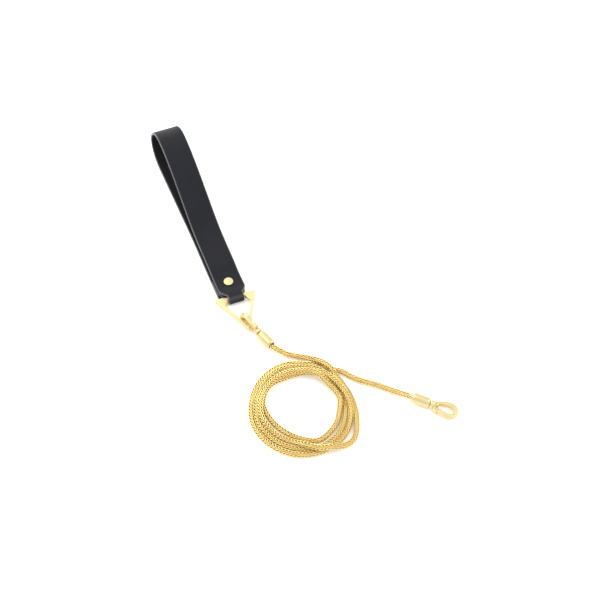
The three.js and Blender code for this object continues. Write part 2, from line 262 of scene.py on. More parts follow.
def edge_material():
    """Burnished and painted edge of the strap: smooth, a little glossier, with long shallow ripples, and
    lighter than the face as a painted highlight on the rounded edge.
    """
    n = Nodes("burnished_edge_and_highlight")
    ripples = n.noise(260, 3, 0.6, stretch=(1, 0.4, 3))
    return n.set(
        # Painted highlight: several times lighter than the face, for the light that the rounded edge catches.
        Base_Color=n.mix(ripples, (0.050, 0.050, 0.055, 1), (0.085, 0.085, 0.092, 1)),
        Roughness=n.span(ripples, 0.3, 0.7, 0.26, 0.42), Normal=n.bump(ripples, 0.00015, 0.4))


def flesh_material():
    """Rough underside of the leather."""
    n = Nodes("leather_underside")
    nap = n.noise(2600, 5, 0.75)
    return n.set(
        Base_Color=n.mix(nap, (0.004, 0.004, 0.005, 1), (0.012, 0.012, 0.014, 1)),
        Roughness=0.85, Specular_IOR_Level=0.1, Normal=n.bump(nap, 0.00025, 0.7))


def steel_material():
    """Bright rolled strip, brushed one way."""
    n = Nodes("spring_steel")
    marks = n.noise(900, 3, 0.6, stretch=(1, 5, 1))
    return n.set(
        Base_Color=n.mix(marks, (0.42, 0.38, 0.30, 1), (0.74, 0.69, 0.58, 1)), Metallic=1.0,
        Roughness=n.span(marks, 0.3, 0.8, 0.2, 0.42), Normal=n.bump(marks, 0.00003, 0.4))


PALE_GOLD = gold_material("pale_gold", (0.75, 0.655, 0.37, 1), (0.62, 0.36, 0.07, 1), 0.42, 700)
CHAIN_GOLD = chain_material()
LEATHER_FACE = leather_material()
LEATHER_EDGE = edge_material()
LEATHER_BACK = flesh_material()
STEEL = steel_material()

# ---- outlines and meshes ----------------------------------------------------------------------


def eased(t):
    """From 0 to 1 as t does, level at both ends."""
    t = min(max(t, 0.0), 1.0)
    return t * t * (3 - 2 * t)


def arc(centre, radius, start, end, steps):
    return [(centre[0] + radius * math.cos(start + (end - start) * k / steps),
             centre[1] + radius * math.sin(start + (end - start) * k / steps)) for k in range(steps + 1)]


def bezier(p0, p1, p2, p3, steps=14):
    """Points of the curve from p0 to p3, without p0 itself."""
    result = []
    for k in range(1, steps + 1):
        t = k / steps
        weights = ((1 - t) ** 3, 3 * t * (1 - t) ** 2, 3 * t * t * (1 - t), t ** 3)
        result.append(tuple(sum(w * p[axis] for w, p in zip(weights, (p0, p1, p2, p3))) for axis in (0, 1)))
    return result


def mesh_object(name, verts, faces, materials, matrix=None, sharp=40.0):
    """A smooth-shaded mesh object from vertices in millimetres, creased where faces meet sharply."""
    mesh = bpy.data.meshes.new(name)
    mesh.from_pydata([tuple(v) for v in verts], [], [tuple(f) for f in faces])
    if matrix is not None:
        mesh.transform(matrix)
    for material in materials:
        mesh.materials.append(material)
    mesh.polygons.foreach_set("use_smooth", [True] * len(mesh.polygons))
    mesh.set_sharp_from_angle(angle=math.radians(sharp))
    mesh.validate()
    mesh.update()
    piece = bpy.data.objects.new(name, mesh)
    bpy.context.scene.collection.objects.link(piece)
    return piece


def rides(piece, body, slot, *nodes):
    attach(piece, body)
    if nodes:
        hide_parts(*nodes)
    return piece


def rounded(profile, radius, steps=4):
    """A closed outline with each corner cut to a round one."""
    count = len(profile)
    result = []
    for i in range(count):
        corner = np.array(profile[i], float)
        before, after = (np.array(profile[j % count], float) - corner for j in (i - 1, i + 1))
        reach = min(radius, 0.45 * np.linalg.norm(before), 0.45 * np.linalg.norm(after))
        start = corner + before / np.linalg.norm(before) * reach
        end = corner + after / np.linalg.norm(after) * reach
        for k in range(steps + 1):
            t = k / steps
            result.append(tuple((1 - t) ** 2 * start + 2 * t * (1 - t) * corner + t * t * end))
    return result


def lathe(profile, sides=64):
    """Vertices and faces of a closed (x, radius) outline turned about X."""
    count = len(profile)
    verts = [(x, r * math.cos(a), r * math.sin(a))
             for a in (2 * math.pi * k / sides for k in range(sides)) for x, r in profile]
    faces = [(k * count + i, k * count + (i + 1) % count,
              ((k + 1) % sides) * count + (i + 1) % count, ((k + 1) % sides) * count + i)
             for k in range(sides) for i in range(count)]
    return verts, faces


def cleaned(piece):
    """Join doubled points, drop faces with no area and turn every face outwards."""
    work = bmesh.new()
    work.from_mesh(piece.data)
    bmesh.ops.remove_doubles(work, verts=work.verts, dist=1e-7)
    bmesh.ops.dissolve_degenerate(work, edges=work.edges, dist=1e-7)
    bmesh.ops.recalc_face_normals(work, faces=work.faces)
    work.to_mesh(piece.data)
    work.free()
    return piece


def turned(name, profile, material, matrix, sides=64, sharp=40.0):
    verts, faces = lathe(profile, sides)
    return cleaned(mesh_object(name, verts, faces, [material], matrix, sharp))


def applied(piece, kind, **settings):
    """Add a modifier and keep its result as the piece's own mesh."""
    modifier = piece.modifiers.new(kind.lower(), kind)
    for key, value in settings.items():
        setattr(modifier, key, value)
    bpy.context.view_layer.update()
    mesh = bpy.data.meshes.new_from_object(piece.evaluated_get(bpy.context.evaluated_depsgraph_get()))
    piece.modifiers.clear()
    piece.data = mesh
    return piece


def carve(piece, operation, tool):
    applied(piece, "BOOLEAN", operation=operation, object=tool, solver="EXACT")
    bpy.data.objects.remove(tool)
    return piece


def prism(name, outline, low, high):
    """A plain prism of an (x, y) outline, in millimetres, for building with carve()."""
    count = len(outline)
    verts = [(x, y, z) for z in (low, high) for x, y in outline]
    faces = [tuple(reversed(range(count))), tuple(range(count, 2 * count))]
    faces += [(i, (i + 1) % count, count + (i + 1) % count, count + i) for i in range(count)]
    return cleaned(mesh_object(name, verts, faces, []))


def disc(name, centre, radius, low, high, sides=48):
    return prism(name, arc(centre, radius, 0, 2 * math.pi, sides)[:-1], low, high)


def soften(piece, width, segments=3, angle=35.0):
    return applied(piece, "BEVEL", width=width, segments=segments, limit_method="ANGLE",
                   angle_limit=math.radians(angle), use_clamp_overlap=True)


def finished(piece, matrix, material, sharp=38.0):
    """Take a carved piece, drawn in millimetres, to its place with one material and smooth shading."""
    piece.data.transform(matrix)
    piece.data.materials.clear()
    piece.data.materials.append(material)
    cleaned(piece)
    piece.data.polygons.foreach_set("use_smooth", [True] * len(piece.data.polygons))
    piece.data.set_sharp_from_angle(angle=math.radians(sharp))
    piece.data.update()
    return piece


# ---- curves -----------------------------------------------------------------------------------

CURVE_STEPS = 16                      # between two of the points that a curve goes through


def between(a, b, low, high, t):
    """Straight from a, where t is low, to b, where t is high."""
    return ((high - t) * a + (t - low) * b) / (high - low)


def smooth_route(points, spacing):
    """Evenly spaced points on a smooth curve through the given ones (centripetal Catmull-Rom).

    Also gives how far along the curve each of them is.
    """
    points = np.array(points, float)
    points = np.vstack([2 * points[0] - points[1], points, 2 * points[-1] - points[-2]])
    fine = []
    for i in range(1, len(points) - 2):
        p = points[i - 1:i + 3]
        knots = np.concatenate([[0], np.cumsum(np.sqrt(np.linalg.norm(np.diff(p, axis=0), axis=1)))])
        t = np.linspace(knots[1], knots[2], CURVE_STEPS, endpoint=False)[:, None]
        first = [between(p[k], p[k + 1], knots[k], knots[k + 1], t) for k in range(3)]
        second = [between(first[k], first[k + 1], knots[k], knots[k + 2], t) for k in range(2)]
        fine.append(between(second[0], second[1], knots[1], knots[2], t))
    fine = np.vstack(fine + [points[-2:-1]])
    along = np.concatenate([[0], np.cumsum(np.linalg.norm(np.diff(fine, axis=0), axis=1))])
    even = np.linspace(0, along[-1], max(2, int(round(along[-1] / spacing)) + 1))
    return np.stack([np.interp(even, along, fine[:, k]) for k in range(fine.shape[1])], axis=1), even


# ---- chain ------------------------------------------------------------------------------------

CHAIN_Z = CHAIN_R + FLOOR_GAP
STRAND_GAP = 2 * CHAIN_R - 0.3        # centre to centre of two stretches whose links nest together

# Radius of each of the four turns about the coil's centre, clockwise every 30 degrees from 60, where
# 0 is +Y. The first turn starts outermost and crosses over to the inside at the coil's near side.
TURN_START = 60
TURN_STEP = 30
TURNS = (
    (44.8, 42.5, 45.6, 52.4, 42.8, 35.2, 34.8, 36.0, 37.6, 39.6, 40.8, 40.0),
    (35.0, 33.2, 30.7, 32.2, 34.8, 30.4, 28.5, 30.2, 35.2, 38.1, 36.2, 38.8),
    (38.6, 36.2, 36.2, 39.0, 41.4, 41.5, 40.6, 40.6, 40.7, 43.8, 46.0, 43.6),
    (40.6, 39.6, 41.0, 43.8, 45.8, 46.9, 46.0, 45.3, 44.7, 47.0, 49.0, 47.2),
)
# How high each stretch starts before the coil settles: it decides which one passes over another.
LEVELS = (
    (13, 5, 10, 22, 24, 24, 24, 24, 24, 24, 24, 24),
    (22, 22, 22, 3, 3, 3, 3, 3, 3, 3, 3, 4),
    (6, 6, 6, 6, 6, 6, 6, 6, 6, 6, 6, 6),
    (20, 20, 20, 12, 12, 5, 3, 3, 3, 3, 3, 3),
)
ROUTE_STEP = 1.5                      # spacing of the centre line's points while the coil settles
COIL_FROM = (32.0, -82.4)             # the coil settles between these two points of the route
COIL_TO = (57.6, -109.6)

# The turns are drawn as they look when they lie at DRAWN_Z. One that lies higher really lies nearer the
# viewer, by DRAWN_LEAN for each millimetre, up to TALLEST_LEAN.
DRAWN_Z = 4.0
DRAWN_LEAN = 1 / math.tan(CAMERA_ELEVATION)
TALLEST_LEAN = 10.0
LEAN_FROM = 12.0                      # none of it this close to a ferrule,
LEAN_OVER = 24.0                      # all of it this much farther along
LEAN_HALF_WINDOW = 13                 # points to each side that a height is averaged over
LEAN_PASSES = 3
LEAN_KEPT = 0.4                       # how much of the last pass's lean is kept

SAME_STRETCH = 8 * CHAIN_R            # points closer than this along the chain never rest on each other
SETTLE_ROUNDS = 900
SETTLE_GENTLY_FROM = 700
SETTLE_DROPS = (0.12, 0.01)           # how far the chain sinks in each round, then in each gentle one

# The chain has rolled so that two of its four sides show, meeting at the top and a little to the front.
CHAIN_FACE = np.array([-0.23, -0.57, 0.79])


def on_axis(unit, x):
    """A point on an end unit's axis, x mm from the ferrule's face, in millimetres from the bar."""
    return tuple((unit @ Vector((x, 0, 0)) - ORIGIN) / MM)


def chain_route():
    """The chain's centre line from one ferrule's socket to the other's."""
    depth = -FERRULE_LENGTH + SOCKET_DEPTH
    route = [
        on_axis(HANDLE_UNIT, depth), on_axis(HANDLE_UNIT, -FERRULE_LENGTH - 2),
        (16.0, -69.4, CHAIN_Z + 1.2), (20.3, -74.2, CHAIN_Z + 0.3), (26.0, -78.6, CHAIN_Z),
        (*COIL_FROM, CHAIN_Z), (38.9, -88.3, 16), (45.1, -95.0, 24), (49.6, -102.8, 24),
    ]
    for turn, levels in zip(TURNS, LEVELS):
        for step, (radius, level) in enumerate(zip(turn, levels)):
            angle = math.radians(TURN_START + TURN_STEP * step)
            route.append((COIL_CENTRE[0] + radius * math.sin(angle),
                          COIL_CENTRE[1] + radius * math.cos(angle), level))
    route += [
        (45.6, -100.9, 3), (50.2, -104.4, 3),
        (*COIL_TO, CHAIN_Z), (62.3, -116.6, CHAIN_Z), (68.4, -123.8, CHAIN_Z),
        (75.6, -129.9, CHAIN_Z), (82.7, -136.0, CHAIN_Z), (89.5, -142.5, CHAIN_Z + 0.3),
        (96.0, -149.4, CHAIN_Z + 1.3),
        on_axis(FREE_UNIT, -FERRULE_LENGTH - 2), on_axis(FREE_UNIT, depth),
    ]
    drawn = smooth_route(route, ROUTE_STEP)[0]
    lying = settle(drawn.copy())
    index = np.arange(len(drawn))
    from_end = np.minimum(index, index[::-1])[:, None] * ROUTE_STEP
    share = np.clip((from_end - LEAN_FROM) / LEAN_OVER, 0, 1)
    lean = np.zeros_like(share)
    for _ in range(LEAN_PASSES):
        height = running_mean(np.minimum(lying[:, 2], TALLEST_LEAN), LEAN_HALF_WINDOW)
        lean = lean * LEAN_KEPT + (height[:, None] - DRAWN_Z) * DRAWN_LEAN * share * (1 - LEAN_KEPT)
        moved = drawn.copy()
        moved[:, :2] -= lean * np.array([math.sin(CAMERA_TURN), math.cos(CAMERA_TURN)])
        lying = settle(moved)
    return lying


def running_mean(values, half_window):
    window = 2 * half_window + 1
    return np.convolve(np.pad(values, half_window, "edge"), np.ones(window) / window, "valid")


def settle(points):
    """Let the coil down on the table and on itself, between the two points where it joins what lies there."""
    start, stop = (int(np.argmin(np.linalg.norm(points[:, :2] - np.array(place), axis=1)))
                   for place in (COIL_FROM, COIL_TO))
    free = slice(start, stop + 1)
    flat, height = points[:, :2], points[:, 2]
    gap = np.linalg.norm(flat[:, None] - flat[None], axis=2)
    index = np.arange(len(points))
    apart = np.abs(index[:, None] - index[None]) * ROUTE_STEP
    first_of, second_of = np.where(np.triu((gap < STRAND_GAP) & (apart > SAME_STRETCH)))
    need = np.sqrt(STRAND_GAP ** 2 - gap[first_of, second_of] ** 2)
    order = np.where(height[first_of] >= height[second_of], 1.0, -1.0)
    fixed = height.copy()
    for count in range(SETTLE_ROUNDS):
        height[free] -= SETTLE_DROPS[count >= SETTLE_GENTLY_FROM]
        smoothed = height.copy()
        smoothed[1:-1] = (height[:-2] + 2 * height[1:-1] + height[2:]) / 4
        height[free] = smoothed[free]
        short = need - order * (height[first_of] - height[second_of])
        push = np.clip(short, 0, None) * 0.5 * order
        up, down = np.zeros_like(height), np.zeros_like(height)
        np.maximum.at(up, first_of, push)
        np.maximum.at(up, second_of, -push)
        np.minimum.at(down, first_of, push)
        np.minimum.at(down, second_of, -push)
        height[free] += (up + down)[free]
        np.maximum(height, CHAIN_Z, out=height)
        height[:start] = fixed[:start]
        height[stop + 1:] = fixed[stop + 1:]
    return points


# One link: a loop of wire bent in two, whose ends lie along opposite sides of the chain.
LINK_PITCH = 3.0
WIRE_R = 0.41
LINK_HALF_WIDTH = 1.15
LINK_BEND_R = 1.25
LINK_LEG = 3.1
LINK_POINTS = 20
LINK_SWELL = 1.06                     # loose links stand a little proud of the chain's stated size
LINK_SQUARENESS = 0.7                 # 1 would be a round loop
LINK_ANGLE = math.pi / 4              # the first link's turn about the chain's axis
SHADE_AND_RUB_FROM = 1.3                       # how far from the axis the painted shade between links starts to give way to bright wear
WIRE_SIDES = 6

CHAIN_STEP = 0.5                      # spacing of the points that the links follow
FIRST_LINK = 0.6                      # from the end of the route to its first link
LAST_LINK_GAP = 1.0                   # and from its last link to the other end


def link_template():
    """Vertices (along, out, across) and faces of one link that starts at 0 on the chain's axis."""
    quarter = LINK_BEND_R * math.pi / 2
    reach = quarter + LINK_LEG
    centre = []
    for k in range(LINK_POINTS):
        turn = 2 * math.pi * k / LINK_POINTS
        length = reach * math.cos(turn)
        q = abs(length)
        if q < quarter:
            out = LINK_BEND_R * math.sin(q / LINK_BEND_R)
            along = LINK_BEND_R * (1 - math.cos(q / LINK_BEND_R))
        else:
            t = (q - quarter) / LINK_LEG
            out = LINK_BEND_R + (CHAIN_R - WIRE_R - LINK_BEND_R) * math.sin(t * math.pi / 2)
            along = LINK_BEND_R + LINK_LEG * t
        across = LINK_HALF_WIDTH * math.copysign(abs(math.sin(turn)) ** LINK_SQUARENESS, math.sin(turn))
        centre.append((along, math.copysign(out, length), across))
    centre = np.array(centre)
    ahead = np.roll(centre, -1, axis=0) - np.roll(centre, 1, axis=0)
    ahead /= np.linalg.norm(ahead, axis=1)[:, None]
    sides = [np.array([0.0, 1.0, 0.0])]
    for way in list(ahead[1:]) + [ahead[0]]:
        side = sides[-1] - way * (sides[-1] @ way)
        sides.append(side / np.linalg.norm(side))
    back = sides.pop()                # how far the wire's section has turned once round the loop
    twist = math.atan2(np.cross(ahead[0], sides[0]) @ back, sides[0] @ back)
    verts = []
    for k, (point, way, side) in enumerate(zip(centre, ahead, sides)):
        other = np.cross(way, side)
        for m in range(WIRE_SIDES):
            a = 2 * math.pi * m / WIRE_SIDES - twist * k / LINK_POINTS
            verts.append(point + WIRE_R * (math.cos(a) * side + math.sin(a) * other))
    faces = [(k * WIRE_SIDES + m, k * WIRE_SIDES + (m + 1) % WIRE_SIDES,
              ((k + 1) % LINK_POINTS) * WIRE_SIDES + (m + 1) % WIRE_SIDES,
              ((k + 1) % LINK_POINTS) * WIRE_SIDES + m)
             for k in range(LINK_POINTS) for m in range(WIRE_SIDES)]
    verts = np.array(verts)
    reach = np.hypot(verts[:, 1], verts[:, 2])[:, None]
    verts[:, 1:] *= np.minimum(1.0, CHAIN_R / reach) * LINK_SWELL
    return verts, np.array(faces)


def chain_frames(points):
    """Unit vectors along, out of the upper side and across the chain at each of its points."""
    ahead = np.gradient(points, axis=0)
    ahead /= np.linalg.norm(ahead, axis=1)[:, None]
    up = CHAIN_FACE - ahead * (ahead @ CHAIN_FACE)[:, None]
    up /= np.linalg.norm(up, axis=1)[:, None]
    return ahead, up, np.cross(ahead, up)


def make_chain():
    """Links laid along the route, each one half a pitch on from the last and turned a quarter from it."""
    route, along = smooth_route(chain_route(), CHAIN_STEP)
    _, up, across = chain_frames(route)
    template, faces = link_template()
    count = int((along[-1] - LINK_BEND_R - LINK_LEG - LAST_LINK_GAP) / (LINK_PITCH / 2))
    verts, quads = [], []
    for k in range(count):
        start = FIRST_LINK + k * LINK_PITCH / 2
        turn = LINK_ANGLE + (math.pi / 2 if k % 2 else 0.0)
        s = template[:, 0] + start
        u = template[:, 1] * math.cos(turn) - template[:, 2] * math.sin(turn)
        v = template[:, 1] * math.sin(turn) + template[:, 2] * math.cos(turn)
        place = np.stack([np.interp(s, along, route[:, c]) for c in range(3)], axis=1)
        for way, amount in ((up, u), (across, v)):
            place += np.stack([np.interp(s, along, way[:, c]) for c in range(3)], axis=1) * amount[:, None]
        place[:, 2] = np.maximum(place[:, 2], FLOOR_GAP)
        quads.append(faces + len(verts) * len(template))
        verts.append(place)
    chain = mesh_object("braided_chain", np.vstack(verts), np.vstack(quads), [CHAIN_GOLD], TABLE, 180)
    out = np.hypot(template[:, 1], template[:, 2])
    # Low near the axis, for the painted shade between links, and high on the outside, where the wire rubs
    # bright.
    wear_and_painted_light = np.clip((out - SHADE_AND_RUB_FROM) / (CHAIN_R - SHADE_AND_RUB_FROM), 0, 1)
    chain.data.attributes.new("rub_and_shade", "FLOAT", "POINT").data.foreach_set("value", np.tile(wear_and_painted_light, count))
    rides(chain, "chain", "chain", "chain_run_to_coil", "chain_coil", "chain_run_to_clip")


make_chain()

# ---- hand loop --------------------------------------------------------------------------------

BOTTOM = FLOOR_GAP + LEATHER / 2
STACK_TOP = FLOOR_GAP + LEATHER + 2 * LAYER
EDGE_R = 0.8                          # the strip's long edges are rounded this much
EDGE_STEPS = 4
FACE_STEPS = 12
BACK_SKEW = 1.5                       # the lower layer lies this far to one side at the rivet,
BACK_SKEW_FROM = 8.0                  # and runs back into line from here
BACK_SKEW_OVER = 90.0                 # over this length
FLAP_SKEW = 1.3                       # the turned-back end lies this far to one side,
FLAP_SKEW_FROM = 5.0                  # starting here
FLAP_SKEW_OVER = 8.0                  # and reached after this length
SHOULDER_SPAN = 9.0
FOLD_SHARPNESS = 4.0                  # 2 would be a round wrap about the bar
STRAP_STEP = 0.7                      # spacing of the strip's sections along it
RIVET_DENT = 0.35                     # the rivet pulls the front layer in by this much,
DENT_LENGTH = 4.5                     # fading out over this far along the strip
DENT_WIDTH = 5.0                      # and this far across it
WAVE = 0.12                           # how far the strip's edges rise and fall
WAVE_STRETCH = 23                     # length of strip for each radian of that wave


def strap_line():
    """Side view of the strip's centre line: flap, round the bar, raised front, far bend, back."""
    middle, top = BOTTOM + LAYER, BOTTOM + 2 * LAYER
    wrap = BAR_R + 0.3 + LEATHER / 2
    round_bar = []
    for degrees in range(270, 89, -15):
        c, s = math.cos(math.radians(degrees)), math.sin(math.radians(degrees))
        reach = wrap * (abs(c) ** FOLD_SHARPNESS + abs(s) ** FOLD_SHARPNESS) ** (-1 / FOLD_SHARPNESS)
        round_bar.append((reach * c, BAR_Z + reach * s))
    return [
        (FLAP_END_Y, middle), (18, middle), (11, middle), (6.6, middle - 0.05), (3.4, middle - 0.9),
        *round_bar,
        (4.2, BAR_Z + wrap - 0.4), (9.5, top + 0.5), (14, top + 0.02), (RIVET_Y, top),
        (22, top + 0.02), (28, top + 0.7), (36, 8.2), (46, 9.4), (59, 10.9), (74, 13.6),
        (86, 17.5), (99, 22.9), (112, 28.2), (125, 33.6), (138, 38.2), (151, 42.0), (163, 44.1),
        (174, 43.8), (184.5, 38.7), (192.5, 30.2), (LOOP_LENGTH - LEATHER / 2, 20), (194.0, 11.0),
        (187.5, 4.4), (178, 1.45), (166, BOTTOM), (150, BOTTOM), (110, BOTTOM), (70, BOTTOM), (35, BOTTOM),
        (15, BOTTOM), (BACK_END_Y, BOTTOM),
    ]


def strap_half_width(y, is_back):
    if is_back:
        return STRAP_WIDTH / 2
    t = min(max((y - SHOULDER_Y + SHOULDER_SPAN / 2) / SHOULDER_SPAN, 0.0), 1.0)
    return NECK_HALF + (STRAP_WIDTH / 2 - NECK_HALF) * (1 - (1 - t) ** 2)


def strap_section(half_width):
    """Outline of the strip's cross-section, (across, up), with round edges: top face first."""
    half = LEATHER / 2
    flat = half_width - EDGE_R
    points = [(flat * math.cos(math.pi * k / FACE_STEPS), half) for k in range(FACE_STEPS + 1)]
    angles = [math.pi / 2 + math.pi * k / (2 * EDGE_STEPS) for k in range(1, EDGE_STEPS + 1)]
    points += [(-flat + EDGE_R * math.cos(a), half - EDGE_R + EDGE_R * math.sin(a)) for a in angles]
    points += [(-flat + EDGE_R * math.cos(a + math.pi / 2),
                EDGE_R - half + EDGE_R * math.sin(a + math.pi / 2))
               for a in [math.pi / 2] + angles[:-1]]
    points += [(-x, -z) for x, z in points]
    return points


def make_strap():
    """The strip's cross-section carried along its side view, front and back layers each with their skew."""
    line, _ = smooth_route(strap_line(), STRAP_STEP)
    ahead = np.gradient(line, axis=0)
    ahead /= np.linalg.norm(ahead, axis=1)[:, None]
    far = int(np.argmax(line[:, 0]))
    near = int(np.argmin(line[:, 0]))
    verts, faces = [], []
    for i, ((y, z), (ty, tz)) in enumerate(zip(line, ahead)):
        section = strap_section(strap_half_width(y, i > far))
        skew = -BACK_SKEW * (1 - eased((y - BACK_SKEW_FROM) / BACK_SKEW_OVER)) if i > far else 0.0
        if i < near:
            skew = -FLAP_SKEW * eased((y - FLAP_SKEW_FROM) / FLAP_SKEW_OVER)
        pull = 0.0 if i > far else RIVET_DENT * math.exp(-((y - RIVET_Y) / DENT_LENGTH) ** 2)
        for across, up in section:
            dent = pull * math.exp(-(across / DENT_WIDTH) ** 2) if up > 0 and ty > 0 else 0
            wave = WAVE * math.sin(y / WAVE_STRETCH + 0.4) * (across / (STRAP_WIDTH / 2)) ** 2
            verts.append((across + skew, y - tz * up, z + ty * up - dent + wave))
    size = len(section)
    for i in range(len(line) - 1):
        for k in range(size):
            faces.append((i * size + k, i * size + (k + 1) % size,
                          (i + 1) * size + (k + 1) % size, (i + 1) * size + k))
    last = (len(line) - 1) * size
    faces += [tuple(range(size)), tuple(reversed(range(last, last + size)))]
    leather = [LEATHER_FACE, LEATHER_EDGE, LEATHER_BACK]
    strap = mesh_object("leather_strap", verts, faces, leather, TABLE, 60)
    half = size // 2
    for face in strap.data.polygons:
        k = face.index % size
        is_end = face.index >= last
        if k < FACE_STEPS and not is_end:
            face.material_index = leather.index(LEATHER_FACE)
        elif half <= k < half + FACE_STEPS and not is_end:
            face.material_index = leather.index(LEATHER_BACK)
        else:
            face.material_index = leather.index(LEATHER_EDGE)
    cleaned(strap)
    rides(strap, "strap", "leather", "hand_strap")


def make_rivet():
    foot = STACK_TOP - 0.15
    r = RIVET_HEAD_R
    cap = [(foot, 0.0), (foot, r - 0.5)]
    cap += [(foot + 0.55 - 0.55 * math.cos(a), r - 0.5 + 0.5 * math.sin(a))
            for a in (math.pi * k / 8 for k in range(1, 8))]
    cap += [(foot + 1.12, r - 0.8), (foot + 1.02, r - 1.05), (foot + 1.08, r - 1.3),
            (foot + 1.22, r * 0.45), (foot + 1.26, 0.0)]
    stand = placed(-0.2, RIVET_Y, 0, 0, -math.pi / 2, 0)
    rides(turned("rivet_head", cap, PALE_GOLD, stand, 72), "strap", "gold", "rivet_cap")
    post = [(0.3, 0.0), (0.3, 1.5), (STACK_TOP - 0.2, 1.5), (STACK_TOP - 0.2, 0.0)]
    rides(turned("rivet_shank", post, PALE_GOLD, placed(0, RIVET_Y, 0, 0, -math.pi / 2, 0), 32),
          "strap", "gold", "rivet_post")


# ---- triangular ring --------------------------------------------------------------------------


def make_ring():
    slope = RING_HALF / RING_LENGTH
    across = (RING_ARM / 2) * math.hypot(1, slope)

    def edge(y, offset):
        return slope * (RING_LENGTH + y) + offset

    def mirrored(points):
        return points + [(-x, y) for x, y in reversed(points)]

    tip = RING_LENGTH - 2.2
    outer = rounded(mirrored([(edge(1.9, across + 0.2), 1.9), (edge(-tip, across), -tip),
                              (1.3, -RING_LENGTH - 0.4)]), 1.1)
    inner_tip = RING_LENGTH - 6.2
    inner = rounded(mirrored([(8.2, -1.0), (9.0, -3.6), (edge(-8.2, -across), -8.2),
                              (edge(-inner_tip, -across), -inner_tip), (0.7, 2.9 - RING_LENGTH)]), 0.8)
    half = RING_THICK / 2
    ring = prism("triangle_frame", outer, -half, half)
    deep = RING_THICK + 1.0
    carve(ring, "DIFFERENCE", prism("cut", inner, -deep, deep))
    gap = [(-7.9, -3.2), (7.9, -3.2), (7.9, 3.2), (-7.9, 3.2)]      # the strap's neck, between the corners
    carve(ring, "DIFFERENCE", prism("cut", gap, -deep, deep))
    soften(ring, 0.75, 4, 50)
    verts, faces = lathe([(-9.2, 0.0), (-9.2, BAR_R), (9.2, BAR_R), (9.2, 0.0)], 40)
    carve(ring, "UNION", cleaned(mesh_object("bar", verts, faces, [])))
    rides(finished(ring, RING, PALE_GOLD), "ring", "gold", "triangle_ring")


# ---- swivel snap hooks ------------------------------------------------------------------------


def link_plate(name):
    """The egg-shaped link with its long eye, from which hook and gate are both cut."""
    nose = HOOK_LENGTH - HOOK_HALF
    quarter = math.pi / 2
    outline = [(2.4, -2.9)] + bezier((2.4, -2.9), (6, -3.6), (8.5, -HOOK_HALF), (nose, -HOOK_HALF))
    outline += arc((nose, 0), HOOK_HALF, -quarter, quarter, 32)[1:]
    outline += bezier((nose, HOOK_HALF), (8.5, HOOK_HALF), (6, 3.6), (2.4, 2.9))
    eye_x = nose + 0.4
    eye = arc((eye_x, 0), EYE_HALF, quarter, -quarter, 24)
    eye += bezier((eye_x, -EYE_HALF), (13, -EYE_HALF), (9.5, -2.6), (8.0, -1.9))
    eye += bezier((8.0, -1.9), (6.8, -0.9), (6.8, 0.9), (8.0, 1.9), 8)
    eye += bezier((8.0, 1.9), (9.5, 2.6), (13, EYE_HALF), (eye_x, EYE_HALF))[:-1]
    plate = prism(name, outline, -HOOK_THICK / 2, HOOK_THICK / 2)
    carve(plate, "DIFFERENCE", prism("cut", list(reversed(eye)), -THROUGH, THROUGH))
    return soften(plate, 1.25, 5, 50)


def gate_zone(from_x, from_y, reach):
    """The side of the link that opens, from a corner out to a reach from the gate's pin."""
    past_x, past_y = 30, 12           # beyond the link's nose and its side
    corners = [(from_x, from_y), (past_x, from_y), (past_x, past_y), (from_x, past_y)]
    side = prism("zone", corners, -THROUGH, THROUGH)
    return carve(side, "INTERSECT", disc("cut", GATE_PIN, reach, -2 * THROUGH, 2 * THROUGH, 96))


def pin_hole():
    return disc("cut", GATE_PIN, GATE_PIN_R + CLEAR, -THROUGH, THROUGH, 24)


def hook_body(name):
    """The link without its gate: a round boss at the neck, two ears for the pin and the swivel's bore."""
    half = HOOK_THICK / 2
    hook = link_plate(name)
    verts, faces = lathe([(0.6, 0), (0.6, 3.2), (0.8, 3.5), (1.2, 3.7), (3.0, 3.7), (3.9, 3.3),
                          (4.8, 2.4), (4.8, 0)], 48)
    carve(hook, "UNION", cleaned(mesh_object("boss", verts, faces, [])))
    carve(hook, "DIFFERENCE", gate_zone(GATE_PIN[0] - 0.6, 1.0, GATE_REACH + CLEAR))
    carve(hook, "UNION", soften(disc("ears", GATE_PIN, EAR_R, -half, half), 0.35, 3, 50))
    slot = TONGUE_HALF + CLEAR
    carve(hook, "DIFFERENCE", disc("cut", GATE_PIN, EAR_R + 0.35, -slot, slot))
    carve(hook, "DIFFERENCE", pin_hole())
    verts, faces = lathe([(-0.5, 0), (-0.5, SWIVEL_R + CLEAR), (3.2, SWIVEL_R + CLEAR), (3.2, 0)], 32)
    return carve(hook, "DIFFERENCE", cleaned(mesh_object("bore", verts, faces, [])))


def gate_arm(name):
    """The opening side of the link, cut away round the ears, with a thin tongue that turns between them."""
    arm = link_plate(name)
    carve(arm, "INTERSECT", gate_zone(GATE_PIN[0] + 0.3, 2.5, GATE_REACH))
    for low, high in ((TONGUE_HALF, THROUGH), (-THROUGH, -TONGUE_HALF)):
        carve(arm, "DIFFERENCE", disc("cut", GATE_PIN, EAR_R + CLEAR, low, high))
    carve(arm, "UNION", disc("tongue", GATE_PIN, EAR_R - CLEAR, -TONGUE_HALF, TONGUE_HALF))
    return carve(arm, "DIFFERENCE", pin_hole())


